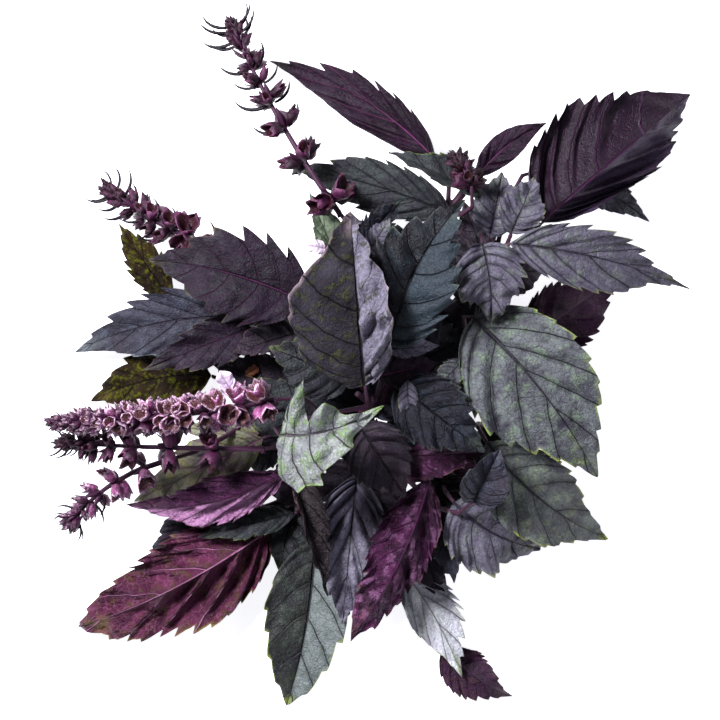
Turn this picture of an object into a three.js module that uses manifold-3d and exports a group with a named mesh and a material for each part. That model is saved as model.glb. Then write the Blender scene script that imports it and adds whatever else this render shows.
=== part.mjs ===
// A cut bunch of Persian basil, lying on a table: nine sprigs gathered at their cut ends, with toothed
// leaves on short stalks and spikes of flower whorls. Millimetres, +Z up. The cut ends point towards +X -Y,
// under the leaves, and the sprigs fan out from them. Origin: bottom centre of the bunch's bounding box.
import * as THREE from "three";
import { mergeVertices } from "three/addons/utils/BufferGeometryUtils.js";
import Module from "manifold-3d";

const wasm = await Module();
wasm.setup();

// ---------- driving dimensions ----------
const GATHER = new THREE.Vector3(40, -33, 0); // where the gathered stems part
const BUNDLE_TURN = -25; // degrees: the way the cut ends point, seen from above
const BUNDLE_STEP = 5; // from one stem of the bundle to the next
const STEM = { cut: 2, end: 1, steps: 18 }; // half the width of a square stem at its two ends
const STALK = { root: 0.9, end: 0.7, steps: 4 }; // the same for the stalk of a leaf or a spike
const STALK_REACH = 10; // a stalk leaves its stem this far before the blade it carries
const STALK_BEND = 0.45; // share of a stalk that runs on in the line of its blade

const BLADE_THICK = { base: 1.3, tip: 0.6 }; // at the midrib; the margins are sharp
const BLADE_LEAST = 1; // half width at the foot of a blade
const TEETH = { count: 6, first: 0.19, span: 0.7, rise: 0.065, depth: 0.17, lean: 0.035 };

const CALYCES = 6; // in each whorl of a flower spike
const WHORL = { reach: 7.2, waist: 5.4, below: 1.5, lip: 2.6, above: 3 }; // two radii, three heights
const SPIKE_TAPER = 0.6; // size of the last whorl beside the first

const GAP = 0.35; // free space between neighbouring pieces
const CLEARANCE = 0.9; // height kept between a piece and what it lies on

const COLOURS = {
  green: { color: 0x2e3a36, roughness: 0.5 },
  purple: { color: 0x3a2436, roughness: 0.5 },
  magenta: { color: 0x5c1f4e, roughness: 0.42 },
  olive: { color: 0x4a4a1c, roughness: 0.55 },
  grey: { color: 0x56605a, roughness: 0.5 },
  blue: { color: 0x1f2a36, roughness: 0.45 },
  pale: { color: 0x8c9c86, roughness: 0.6 },
  stem: { color: 0x3c1c34, roughness: 0.5 },
  calyx: { color: 0x7c3f6e, roughness: 0.6 },
};

const UP = new THREE.Vector3(0, 0, 1);
const { degToRad, lerp, clamp } = THREE.MathUtils;

// ---------- the sprigs ----------
// Both kinds of piece run from a base to a tip, [x, y, z], and lie in the pile by layer, the lowest first.
// The heights are those before the pile is laid. arch is how far the middle rises, and sway how far it bows
// to the right. A blade rolls about its midrib, 180 showing its underside, and folds each half towards its
// upper face. from is the share of the stem's length at which a stalk leaves, where that isn't the nearest.
const between = (base, tip) => ({ base: new THREE.Vector3(...base), tip: new THREE.Vector3(...tip) });
const leaf = (layer, base, tip, width, shape) => {
  const plain = { arch: 5, sway: 0, roll: 0, fold: 12, tint: "green" };
  return { ...plain, ...between(base, tip), layer, width, ...shape };
};
const spike = (layer, base, tip, whorls, shape) => {
  const plain = { arch: 2, sway: 0, girth: 1, crowding: 0.6 };
  return { ...plain, ...between(base, tip), layer, whorls, ...shape };
};

// cut: [place in its row of the bundle, row, length of the cut end]; way: the points the stem then passes.
const SPRIGS = [
  {
    name: "sprig_1",
    cut: [-1, 0, 28],
    way: [[12, -30, 4], [-12, -37, 7], [-30, -46, 9], [-44, -51, 10]],
    leaves: [
      leaf(1, [-57, -52, 8], [-75, -67, 1], 13, { tint: "purple", fold: 16, arch: 3 }),
      leaf(2, [-33, -55, 12], [-101, -90, 1], 36, { tint: "magenta", roll: 174, sway: -3, arch: 9 }),
      leaf(2, [-25, -50, 14], [-58, -58, 8], 13, { tint: "green", roll: 30, arch: 2 }),
      leaf(5, [-26, -31, 26], [-13, -78, 14], 24, { tint: "purple", roll: -40, arch: 6, fold: 26 }),
    ],
    spikes: [],
  },
  {
    name: "sprig_2",
    cut: [-2, 1, 22],
    way: [[14, -38, 7], [-6, -46, 10], [-15, -54, 12]],
    leaves: [
      leaf(1, [-12, -64, 10], [-14, -93, 3], 12, { tint: "green", arch: 3 }),
      leaf(2, [-18, -59, 12], [-28, -117, 0], 30, { tint: "green", roll: 8, arch: 7, fold: 14, sway: -2 }),
      leaf(3, [-3, -38, 20], [-8, -88, 8], 26, { tint: "grey", arch: 6, fold: 18 }),
      leaf(4, [22, -38, 24], [-5, -93, 10], 25, { tint: "magenta", arch: 8, roll: 168, sway: -3, fold: 22 }),
      leaf(7, [37, -45, 28], [46, -27, 32], 18, { tint: "grey", arch: 3, fold: 20, roll: 14, from: 0.56 }),
    ],
    spikes: [],
  },
  {
    name: "sprig_3",
    cut: [-2, 0, 26],
    way: [[24, -42, 4], [16, -58, 7], [18, -82, 5]],
    leaves: [
      leaf(1, [26, -97, 6], [50, -114, 0], 18, { tint: "purple", arch: 4, roll: 165, sway: 2 }),
      leaf(2, [12, -68, 12], [33, -106, 6], 22, { tint: "pale", arch: 4, roll: 186, fold: 20, sway: -2 }),
      leaf(3, [26, -47, 16], [31, -74, 8], 15, { tint: "grey", arch: 3, roll: 20 }),
      leaf(3, [31, -46, 18], [61, -62, 9], 32, { tint: "grey", arch: 6, roll: 8, fold: 8, sway: 3 }),
    ],
    spikes: [],
  },
  {
    name: "sprig_4",
    cut: [0, 0, 30],
    way: [[10, -22, 6], [-16, -20, 12], [-36, -19, 16], [-52, -19, 16]],
    leaves: [
      leaf(1, [-54, -2, 12], [-96, -11, 2], 24, { tint: "olive", arch: 3, fold: 8, sway: 3 }),
      leaf(2, [-36, -24, 18], [-81, -46, 5], 21, { tint: "green", arch: 4, fold: 8 }),
      leaf(3, [-28, -35, 22], [-83, -46, 10], 22, { tint: "magenta", roll: 160, sway: -5, fold: 30 }),
      leaf(5, [7, -30, 28], [42, -28, 26], 17, { tint: "magenta", arch: 3, roll: 150, fold: 30 }),
    ],
    spikes: [
      spike(5, [-31, -10, 28], [-109, -18, 12], 16, { girth: 1.1, crowding: 0.85, sway: -2, from: 0.74 }),
      spike(4, [-35, -27, 24], [-103, -28, 10], 9, { arch: 3, girth: 0.82 }),
      spike(3, [-68, -31, 16], [-106, -56, 8], 5, { arch: 1, girth: 0.95, sway: 4 }),
    ],
  },
  {
    name: "sprig_5",
    cut: [1, 0, 27],
    way: [[18, -12, 8], [-8, 2, 14], [-30, 12, 18], [-54, 23, 16]],
    leaves: [
      leaf(1, [-68, 25, 12], [-86, 51, 3], 15, { tint: "olive", arch: 2, fold: 20 }),
      leaf(2, [-43, 19, 22], [-102, 7, 3], 24, { tint: "blue", arch: 7, sway: 4 }),
      leaf(3, [-33, 17, 24], [-77, 0, 10], 18, { tint: "purple", arch: 5, fold: 16 }),
      leaf(3, [-22, 13, 26], [-46, 6, 20], 19, { tint: "purple", arch: 2, roll: 30, fold: 24 }),
      leaf(5, [-20, 23, 34], [-75, 38, 18], 35, { tint: "purple", arch: 7, sway: 3, fold: 8 }),
      leaf(3, [-9, 27, 28], [-23, 60, 24], 16, { tint: "olive", arch: 3 }),
    ],
    spikes: [
      spike(4, [-50, 42, 22], [-92, 62, 16], 8, { arch: 3, girth: 0.92, sway: -2 }),
    ],
  },
  {
    name: "sprig_6",
    cut: [0, 1, 24],
    way: [[26, -8, 14], [18, 22, 24], [24, 48, 29], [34, 61, 30]],
    leaves: [
      leaf(2, [25, 73, 28], [-33, 108, 1], 19, { tint: "purple", arch: 6, fold: 26, roll: -12, sway: 5 }),
      leaf(3, [29, 54, 32], [-26, 70, 20], 20, { tint: "green", arch: 6, fold: 10, roll: -8, sway: 2 }),
      leaf(4, [38, 68, 32], [62, 86, 14], 11, { tint: "purple", arch: 3, fold: 18, sway: -2 }),
      leaf(4, [42, 59, 36], [8, 75, 30], 13, { tint: "green", arch: 5, roll: 40, fold: 18 }),
      leaf(7, [-1, 44, 42], [12, 58, 44], 12, { tint: "blue", arch: 2, fold: 20 }),
    ],
    spikes: [
      spike(4, [-9, 54, 34], [-47, 121, 24], 9, { arch: 3, sway: -2, girth: 1.1 }),
      spike(6, [36, 63, 36], [31, 77, 42], 4, { girth: 0.75, arch: 1 }),
    ],
  },
  {
    name: "sprig_7",
    cut: [2, 0, 23],
    way: [[48, -6, 12], [46, 18, 26], [44, 40, 38]],
    leaves: [
      leaf(1, [66, 70, 24], [99, 54, 3], 13, { tint: "purple", arch: 3, sway: -2 }),
      leaf(1, [55, 9, 18], [90, 34, 1], 27, { tint: "purple", arch: 5, roll: 172, fold: 16 }),
      leaf(3, [61, 51, 34], [113, 96, 12], 54, { tint: "magenta", arch: 8, roll: 198, fold: 20 }),
      leaf(6, [50, 43, 42], [112, 28, 28], 25, { tint: "grey", arch: 6, fold: 10, sway: -2.5 }),
      leaf(5, [43, 47, 42], [47, 68, 44], 18, { tint: "grey", arch: 3, fold: 14 }),
      leaf(5, [50, 47, 42], [58, 66, 42], 17, { tint: "grey", arch: 3, fold: 14 }),
      leaf(8, [40, 43, 44], [43, 17, 40], 27, { tint: "grey", arch: 4, fold: 16, sway: -1 }),
    ],
    spikes: [],
  },
  {
    name: "sprig_8",
    cut: [1, 1, 20],
    way: [[42, -14, 16], [38, 2, 26], [36, 12, 32]],
    leaves: [
      leaf(4, [42, -25, 24], [85, -59, 6], 30, { tint: "green", arch: 6, fold: 8, sway: 4 }),
      leaf(5, [22, 12, 30], [15, -19, 26], 18, { tint: "purple", arch: 3, fold: 12 }),
      leaf(7, [37, 18, 42], [80, -37, 20], 48, { tint: "green", arch: 9, fold: 7, roll: 4, sway: -3 }),
    ],
    spikes: [],
  },
  {
    name: "sprig_9",
    cut: [-1, 1, 25],
    way: [[20, -22, 14], [6, -14, 26], [-3, -8, 36]],
    leaves: [
      leaf(4, [-5, -3, 34], [-33, 8, 26], 24, { tint: "grey", arch: 4 }),
      leaf(6, [14, 1, 38], [38, 13, 34], 27, { tint: "green", arch: 3 }),
      leaf(6, [-2, -19, 36], [14, -44, 30], 24, { tint: "green", arch: 3 }),
      leaf(7, [11, -5, 38], [41, -28, 30], 26, { tint: "green", arch: 4, fold: 10 }),
      leaf(9, [8, 8, 48], [34, 58, 46], 36, { tint: "blue", arch: 6, fold: 12, roll: -8, sway: -4 }),
      leaf(9, [0, -5, 52], [-5, 54, 56], 42, { tint: "green", arch: 7, fold: 25, roll: -22 }),
      leaf(10, [-29, -22, 48], [6, -12, 60], 38, { tint: "pale", arch: 6, fold: 14, sway: 3 }),
    ],
    spikes: [],
  },
];

// ---------- curves ----------
// The midrib of a blade or the axis of a spike: one bow, upwards and to the side.
function midrib({ base, tip, arch, sway }) {
  const right = new THREE.Vector3().subVectors(tip, base).cross(UP).normalize();
  const middle = base.clone().lerp(tip, 0.5).addScaledVector(UP, 2 * arch).addScaledVector(right, 2 * sway);
  return new THREE.QuadraticBezierCurve3(base, middle, tip);
}

const onTable = (turn, distance) => {
  const angle = degToRad(turn);
  return new THREE.Vector3(distance * Math.cos(angle), distance * Math.sin(angle), 0);
};

function stemCurve(sprig) {
  const [place, row, length] = sprig.cut;
  const height = STEM.cut + row * BUNDLE_STEP;
  const aside = onTable(BUNDLE_TURN + 90, BUNDLE_STEP * (place + row / 2));
  const bundle = (distance) => GATHER.clone().add(onTable(BUNDLE_TURN, distance)).add(aside).setZ(height);
  const way = sprig.way.map((point) => new THREE.Vector3(...point));
  const points = [bundle(length), bundle(length / 2), bundle(0), ...way];
  return new THREE.CatmullRomCurve3(points, false, "centripetal");
}

// The stalk of a leaf or a spike: it leaves the stem a little before the nearest point and ends in the line
// of the piece it carries.
function stalkCurve(stem, item) {
  const shares = Array.from({ length: 61 }, (_, i) => i / 60);
  const distance = (share) => stem.getPointAt(share).distanceTo(item.base);
  const nearest = shares.reduce((best, share) => (distance(share) < distance(best) ? share : best));
  const root = stem.getPointAt(item.from ?? clamp(nearest - STALK_REACH / stem.getLength(), 0.3, 0.99));
  const towards = midrib(item).getTangent(0);
  const end = item.base.clone().addScaledVector(towards, -GAP);
  const bend = end.clone().addScaledVector(towards, -STALK_BEND * root.distanceTo(end));
  return new THREE.QuadraticBezierCurve3(root, bend, end);
}

// ---------- solids ----------
// A closed skin through rings of points. Each end is closed by a fan to its ring's middle, or to a point given.
function loft(rings, last = middleOf(rings.at(-1))) {
  const sides = rings[0].length;
  const points = [...rings.flat(), middleOf(rings[0]), last];
  const first = points.length - 2;
  const faces = [];
  for (let i = 0; i < sides; i++) {
    const j = (i + 1) % sides;
    const end = (rings.length - 1) * sides;
    faces.push(first, j, i, first + 1, end + i, end + j);
    for (let r = 0; r < end; r += sides) {
      faces.push(r + i, r + j, r + sides + j, r + i, r + sides + j, r + sides + i);
    }
  }
  return facingOut(new THREE.BufferGeometry().setFromPoints(points).setIndex(faces));
}

const middleOf = (ring) => {
  const sum = ring.reduce((total, point) => total.add(point), new THREE.Vector3());
  return sum.divideScalar(ring.length);
};

// Turns every face round if the skin's volume comes out negative.
function facingOut(geometry) {
  const position = geometry.getAttribute("position");
  const index = geometry.index.array;
  const corner = (k) => new THREE.Vector3().fromBufferAttribute(position, index[k]);
  let volume = 0;
  for (let k = 0; k < index.length; k += 3) {
    volume += corner(k).dot(corner(k + 1).cross(corner(k + 2)));
  }
  if (volume < 0) index.reverse();
  return geometry;
}

// A square rod along a curve; half its width goes from one value to another.
function rod(curve, steps, from, to) {
  const frames = curve.computeFrenetFrames(steps, false);
  const corners = [[1, 1], [-1, 1], [-1, -1], [1, -1]];
  const rings = [];
  for (let i = 0; i <= steps; i++) {
    const centre = curve.getPointAt(i / steps);
    const half = lerp(from, to, i / steps);
    const side = frames.normals[i].clone().multiplyScalar(half);
    const over = frames.binormals[i].clone().multiplyScalar(half);
    rings.push(corners.map(([a, b]) => centre.clone().addScaledVector(side, a).addScaledVector(over, b)));
  }
  return loft(rings);
}

function solidOf(geometry) {
  const bare = new THREE.BufferGeometry().setAttribute("position", geometry.getAttribute("position"));
  const merged = mergeVertices(bare.setIndex(geometry.index), 1e-4);
  const vertProperties = merged.attributes.position.array;
  const triVerts = new Uint32Array(merged.index.array);
  return new wasm.Manifold(new wasm.Mesh({ numProp: 3, vertProperties, triVerts }));
}

function geometryOf(solid) {
  const mesh = solid.getMesh();
  const geometry = new THREE.BufferGeometry();
  geometry.setAttribute("position", new THREE.BufferAttribute(mesh.vertProperties, 3));
  return geometry.setIndex(new THREE.BufferAttribute(mesh.triVerts, 1));
}

// ---------- leaf blades ----------
// Half the blade's width at share t of its length: widest at two fifths, drawn out to a point.
function halfWidth(blade, t) {
  const oval = Math.sin(Math.PI * Math.pow(t, 0.76));
  return 0.52 * blade.width * Math.pow(Math.max(oval, 0), 0.92) * (1 - 0.22 * t * t);
}

// The blade's own directions at t: along it, out of its upper face, and out to each margin.
function bladeFrame(blade, curve, t) {
  const along = curve.getTangent(t);
  const right = along.clone().cross(UP).normalize().applyAxisAngle(along, degToRad(blade.roll));
  const normal = right.clone().cross(along);
  const rise = Math.tan(degToRad(blade.fold));
  const outTo = (sign) => right.clone().multiplyScalar(sign).addScaledVector(normal, rise).normalize();
  return { point: curve.getPoint(t), along, normal, margins: [outTo(1), outTo(-1)] };
}

// Stations along a blade: a plain foot, then a notch and a tooth in turn.
const STATIONS = [
  { t: 0, reach: 1, lean: 0 },
  { t: 0.1, reach: 1, lean: 0 },
];
for (let k = 0; k < TEETH.count; k++) {
  const notch = TEETH.first + (TEETH.span * k) / TEETH.count;
  STATIONS.push({ t: notch, reach: 1 - TEETH.depth, lean: 0 });
  STATIONS.push({ t: notch + TEETH.rise, reach: 1, lean: TEETH.lean });
}

// A blade is a thin lens in section: two margins, and the midrib's upper and lower faces. grow makes it
// larger all round, for cutting its neighbours.
function bladeGeometry(blade, grow = 0) {
  const curve = midrib(blade);
  const length = curve.getLength();
  const rings = STATIONS.map(({ t, reach, lean }) => {
    const { point, along, normal, margins } = bladeFrame(blade, curve, t);
    const half = Math.max(halfWidth(blade, t) * reach, BLADE_LEAST) + grow;
    const thick = lerp(BLADE_THICK.base, BLADE_THICK.tip, t) / 2 + grow;
    const [right, left] = margins.map((out) =>
      point.clone().addScaledVector(out, half).addScaledVector(along, lean * length),
    );
    const [upper, lower] = [thick, -thick].map((height) => point.clone().addScaledVector(normal, height));
    return [right, upper, left, lower];
  });
  return loft(rings, curve.getPoint(1).addScaledVector(curve.getTangent(1), grow));
}

// ---------- flower spikes ----------
const spikeRadius = (item, t) => item.girth * WHORL.reach * lerp(1, SPIKE_TAPER, Math.pow(t, 4));

// One closed skin along the axis. At each whorl it swells into a star with one point for each calyx, and the
// whorls are closer and smaller towards the tip.
function spikeGeometry(item, grow = 0) {
  const curve = midrib(item);
  const length = curve.getLength();
  const frames = curve.computeFrenetFrames(item.whorls, false);
  const star = (w, distance, reach, waist) => {
    const centre = curve.getPointAt(clamp(distance / length, 0, 1));
    centre.addScaledVector(curve.getTangentAt(0), Math.min(distance, 0));
    return Array.from({ length: 2 * CALYCES }, (_, k) => {
      const turn = (Math.PI * (k + (w % 2))) / CALYCES;
      const radius = (k % 2 ? waist : reach) + grow;
      const out = frames.normals[w].clone().multiplyScalar(radius * Math.cos(turn));
      return out.addScaledVector(frames.binormals[w], radius * Math.sin(turn)).add(centre);
    });
  };
  const axis = STALK.root;
  const rings = [star(0, -grow, axis, axis)];
  for (let w = 0; w < item.whorls; w++) {
    const t = Math.pow((w + 0.5) / item.whorls, item.crowding);
    const size = spikeRadius(item, t) / WHORL.reach;
    const whorl = t * length;
    rings.push(star(w, whorl - WHORL.below * size - grow, axis, axis));
    rings.push(star(w, whorl + WHORL.lip * size, WHORL.reach * size, WHORL.waist * size));
    rings.push(star(w, whorl + WHORL.above * size + grow, axis, axis));
  }
  return loft(rings, curve.getPointAt(1).addScaledVector(curve.getTangentAt(1), axis + grow));
}

// ---------- stems with their stalks ----------
function stemSolid(sprig, grow = 0) {
  const stem = stemCurve(sprig);
  const stalks = [...sprig.leaves, ...sprig.spikes].map((item) =>
    solidOf(rod(stalkCurve(stem, item), STALK.steps, STALK.root + grow, STALK.end + grow)),
  );
  const main = solidOf(rod(stem, STEM.steps, STEM.cut + grow, STEM.end + grow));
  return stalks.reduce((joined, stalk) => joined.add(stalk), main);
}

// ---------- laying the pile ----------
// The height that the pile has reached over each square of the table.
const PILE = { cell: 2, reach: 150 };
const WIDE = Math.ceil((2 * PILE.reach) / PILE.cell);
const heights = new Float32Array(WIDE * WIDE);
const square = (x, y) => {
  const [i, j] = [x, y].map((v) => Math.floor((v + PILE.reach) / PILE.cell));
  return i * WIDE + j;
};

// The highest of the nine squares round a place.
function heightUnder({ x, y }) {
  const steps = [-PILE.cell, 0, PILE.cell];
  return Math.max(...steps.flatMap((dx) => steps.map((dy) => heights[square(x + dx, y + dy)])));
}

function raisePile({ x, y, z }, half) {
  const at = square(x, y);
  heights[at] = Math.max(heights[at], z + half);
}

// Points of an item's middle surface at share t of its length, with the half thickness it has there.
function across(item, curve, t) {
  if (item.whorls) {
    const side = curve.getTangent(t).cross(UP).normalize();
    const radius = spikeRadius(item, t);
    return [-0.9, -0.5, 0, 0.5, 0.9].map((share) => ({
      point: curve.getPoint(t).addScaledVector(side, share * radius),
      half: radius * Math.sqrt(1 - share * share),
    }));
  }
  const { point, margins } = bladeFrame(item, curve, t);
  const reach = halfWidth(item, t);
  const half = BLADE_THICK.base / 2;
  const beside = (out, share) => ({ point: point.clone().addScaledVector(out, share * reach), half });
  return margins.flatMap((out) => [0, 0.25, 0.5, 0.75, 1].map((share) => beside(out, share)));
}

// How much an item must rise at each station along it to clear the pile.
function rises(item, stations) {
  const curve = midrib(item);
  return stations.map((t) => {
    const needs = across(item, curve, t).map(({ point, half }) => {
      const top = heightUnder(point);
      return top + (top > 0 ? CLEARANCE : 0) + half - point.z;
    });
    return Math.max(0, ...needs);
  });
}

// Of the straight lines over all the needs, the one that is lowest at its middle, as its two end heights.
function lowestSlope(needs) {
  const last = needs.length - 1;
  const level = Math.max(...needs);
  let best = [level, level];
  for (let i = 0; i < last; i++) {
    for (let j = i + 1; j <= last; j++) {
      const slope = (needs[j] - needs[i]) / (j - i);
      const start = needs[i] - slope * i;
      const end = start + slope * last;
      const clears = start >= 0 && end >= 0 && needs.every((need, k) => start + slope * k >= need - 1e-6);
      if (clears && start + end < best[0] + best[1]) best = [start, end];
    }
  }
  return best;
}

// Raises an item's two ends just enough to clear all that lies under it, and adds it to the pile.
function lay(item) {
  const stations = Array.from({ length: 31 }, (_, i) => i / 30);
  for (let round = 0; round < 3; round++) {
    const [start, end] = lowestSlope(rises(item, stations));
    item.base.z += start;
    item.tip.z += end;
  }
  const curve = midrib(item);
  const half = 0.5 / (stations.length - 1);
  for (const t of stations.flatMap((station) => [station, Math.max(station - half, 0)])) {
    for (const spot of across(item, curve, t)) raisePile(spot.point, spot.half);
  }
}

function layStem(sprig) {
  for (const { x, y, z } of stemCurve(sprig).getSpacedPoints(120)) {
    for (const aside of [-1.5, 0, 1.5]) raisePile({ x: x + aside, y: y + aside, z }, STEM.cut);
  }
}

SPRIGS.forEach(layStem);
const items = SPRIGS.flatMap((sprig) => [...sprig.leaves, ...sprig.spikes]);
items.sort((a, b) => a.layer - b.layer).forEach(lay);

// ---------- the bunch ----------
const bunch = new THREE.Group();

function place(name, solid, tint) {
  const material = new THREE.MeshStandardMaterial({ ...COLOURS[tint], metalness: 0 });
  const mesh = new THREE.Mesh(geometryOf(solid), material);
  mesh.name = name;
  bunch.add(mesh);
}

const clearOf = (cutters, solid) => cutters.reduce((left, cutter) => left.subtract(cutter), solid);
const largestBody = (solid) => solid.decompose().sort((a, b) => b.volume() - a.volume())[0];

// Blades stay whole. Spikes give way to blades, and stems to blades, to spikes and to the stems before them.
const cutters = [];
for (const { name, leaves } of SPRIGS) {
  leaves.forEach((blade, i) => {
    place(`${name}_leaf_${i + 1}`, solidOf(bladeGeometry(blade)), blade.tint);
    cutters.push(solidOf(bladeGeometry(blade, GAP)));
  });
}
for (const { name, spikes } of SPRIGS) {
  spikes.forEach((item, i) => {
    const solid = largestBody(clearOf(cutters, solidOf(spikeGeometry(item))));
    place(`${name}_flower_spike_${i + 1}`, solid, "calyx");
    cutters.push(solidOf(spikeGeometry(item, GAP)));
  });
}
for (const sprig of SPRIGS) {
  place(`${sprig.name}_stem`, largestBody(clearOf(cutters, stemSolid(sprig))), "stem");
  cutters.push(stemSolid(sprig, GAP));
}

const box = new THREE.Box3().setFromObject(bunch);
const centre = box.getCenter(new THREE.Vector3());
bunch.position.set(-centre.x, -centre.y, -box.min.z);

export default bunch;
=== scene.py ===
# %% [markdown]
# # A bunch of Persian basil
# The solids hold every leaf, spike and stem as a simple closed form: its place, its length, its fold and
# its bow. Here each form gets its skin. A leaf's skin follows the solid's midrib and the tips of its
# teeth, and adds what a living leaf has: pleats between the side veins, wavy edges, and two sides of
# different colour.

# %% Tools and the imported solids
import bpy
import numpy as np
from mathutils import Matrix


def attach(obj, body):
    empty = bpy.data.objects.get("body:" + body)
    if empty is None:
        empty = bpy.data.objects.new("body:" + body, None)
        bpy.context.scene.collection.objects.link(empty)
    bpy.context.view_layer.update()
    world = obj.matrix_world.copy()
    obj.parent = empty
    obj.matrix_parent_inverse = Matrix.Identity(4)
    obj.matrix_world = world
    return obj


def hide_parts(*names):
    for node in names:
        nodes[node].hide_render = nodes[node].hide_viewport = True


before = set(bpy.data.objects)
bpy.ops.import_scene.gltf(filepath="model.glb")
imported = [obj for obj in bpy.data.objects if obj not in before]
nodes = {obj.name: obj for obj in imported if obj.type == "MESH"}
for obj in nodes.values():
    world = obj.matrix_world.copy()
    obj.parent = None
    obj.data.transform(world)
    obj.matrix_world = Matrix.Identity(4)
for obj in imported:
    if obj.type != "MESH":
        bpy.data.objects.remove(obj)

MM = 0.001
UP = np.array([0, 0, 1.0])
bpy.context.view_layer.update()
leaves = sorted(name for name in nodes if "_leaf_" in name)
spikes = sorted(name for name in nodes if "_spike_" in name)
stems = sorted(name for name in nodes if name.endswith("_stem"))
print(f"{len(leaves)} leaves, {len(spikes)} flower spikes, {len(stems)} stems")

# %% [markdown]
# ## Small helpers
# A surface here is a grid of points worked out as whole arrays. One helper joins the grid's points into
# faces, and one turns points and faces into a Blender mesh. All lengths are in millimetres until the mesh
# is made.


# %% Grids and meshes
def grid_faces(rows, columns, around=False):
    """Four corners for each cell of a rows x columns grid of points, numbered row by row. Around joins the
    last column to the first."""
    across = np.arange(columns if around else columns - 1)
    row = np.arange(rows - 1)[:, None] * columns
    right = (across + 1) % columns
    corners = [row + across, row + right, row + columns + right, row + columns + across]
    return np.stack(corners, -1).reshape(-1, 4)


def new_piece(name, points, blocks, materials, face_material=None, uv=None):
    """A mesh object from points in millimetres. blocks are arrays of faces, and all faces in one array
    have as many corners. face_material is each face's place in the list of materials, and uv two numbers a
    point."""
    mesh = bpy.data.meshes.new(name)
    faces = [face for block in blocks for face in block.tolist()]
    mesh.from_pydata((points * MM).tolist(), [], faces)
    for material in materials:
        mesh.materials.append(material)
    if face_material is not None:
        mesh.polygons.foreach_set("material_index", np.asarray(face_material, np.int32))
    if uv is not None:
        corner = np.empty(len(mesh.loops), np.int32)
        mesh.loops.foreach_get("vertex_index", corner)
        uv_of_corner = np.asarray(uv, np.float32)[corner]
        mesh.uv_layers.new(name="UVMap").data.foreach_set("uv", uv_of_corner.ravel())
    mesh.shade_smooth()
    piece = bpy.data.objects.new(name, mesh)
    bpy.context.scene.collection.objects.link(piece)
    return piece


# %% Smooth curves
def unit(vectors):
    """Vectors of length 1 that point the same ways."""
    return vectors / np.linalg.norm(vectors, axis=-1, keepdims=True)


def smooth_through(knots, values, at):
    """A curve through values at their knots: between two of them a cubic, whose slope at each knot is that
    of the line between the knot's neighbours."""
    knots = np.asarray(knots, float)
    slope = np.gradient(values, knots, axis=0)
    i = np.clip(np.searchsorted(knots, at, side="right") - 1, 0, len(knots) - 2)
    step = (knots[i + 1] - knots[i])[:, None]
    x = (at - knots[i])[:, None] / step
    start = (2 * x**3 - 3 * x**2 + 1) * values[i] + (x**3 - 2 * x**2 + x) * step * slope[i]
    end = (3 * x**2 - 2 * x**3) * values[i + 1] + (x**3 - x**2) * step * slope[i + 1]
    return start + end


def ramp(low, high, x):
    """0 below low, 1 above high, and an even S between them."""
    x = np.clip((x - low) / (high - low), 0, 1)
    return x * x * (3 - 2 * x)


# %% [markdown]
# ## Reading the solids
# Each blade and each spike is a skin through rings of corners, closed at both ends by a fan of triangles.
# Counting steps from one fan's point gives the rings back in order, whatever order the file keeps them in.


# %% Rings of a solid
def rings_of(name, sides):
    """The rings of a solid from base to tip, (rings, sides, 3), with its base and tip points, in
    millimetres. The point at the middle of a fan is the only kind that meets exactly as many faces as a
    ring has sides."""
    mesh = nodes[name].data
    places = np.empty(len(mesh.vertices) * 3, np.float32)
    mesh.vertices.foreach_get("co", places)
    corners = np.empty(len(mesh.loops), np.int32)
    mesh.loops.foreach_get("vertex_index", corners)
    micrometres = np.round(places.reshape(-1, 3) * 1e6).astype(np.int64)
    merged, number = np.unique(micrometres, axis=0, return_inverse=True)
    triangles = number.ravel()[corners].reshape(-1, 3)
    points = merged / 1000.0
    linked = np.zeros((len(points), len(points)), bool)
    linked[triangles, np.roll(triangles, 1, axis=1)] = True
    linked |= linked.T
    ends = np.flatnonzero(np.bincount(triangles.ravel(), minlength=len(points)) == sides)
    stand_off = [np.linalg.norm(points[end] - points[linked[end]].mean(0)) for end in ends]
    tip, base = ends[np.argmax(stand_off)], ends[np.argmin(stand_off)]
    rings = []
    seen = np.zeros(len(points), bool)
    seen[tip] = True
    front = linked[tip]
    while front.sum() == sides:
        rings.append(points[front])
        seen |= front
        front = linked[front].any(0) & ~seen
    return np.array(rings[::-1]), points[base], points[tip]


# %% Spine of a blade
# Where a solid's rings stand along its blade, which has six teeth on either side.
BLADE_SIDES = 4
NOTCHES = 0.19 + 0.7 * np.arange(6) / 6
TOOTH_TIPS = NOTCHES + 0.1
STATIONS = np.concatenate([[0, 0.1], np.stack([NOTCHES, NOTCHES + 0.065], 1).ravel()])


def spine_of(name):
    """A blade's midrib, upper side and margins at every station. Of a ring's four corners, the two
    furthest apart are the margins. Their middle lies above the midrib, because the blade is folded
    upwards."""
    rings, base, tip = rings_of(name, BLADE_SIDES)
    which = np.arange(len(rings))[:, None]
    apart = np.linalg.norm(rings[:, :, None] - rings[:, None], axis=-1).reshape(len(rings), -1)
    pair = np.stack(np.unravel_index(apart.argmax(1), (BLADE_SIDES, BLADE_SIDES)), 1)
    margins = rings[which, pair]
    rib = (rings.sum(1) - margins.sum(1)) / 2
    along = unit(np.gradient(np.vstack([rib, tip]), np.append(STATIONS, 1), axis=0))[:-1]
    fold = margins.mean(1) - rib
    normal = unit(fold - along * (fold * along).sum(1, keepdims=True))
    right = np.cross(along, normal)
    swapped = ((margins[:, 0] - rib) * right).sum(1) < 0
    margins[swapped] = margins[swapped][:, ::-1]
    return {"rib": rib, "normal": normal, "right": margins[:, 0], "left": margins[:, 1], "base": base,
            "tip": tip}


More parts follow.
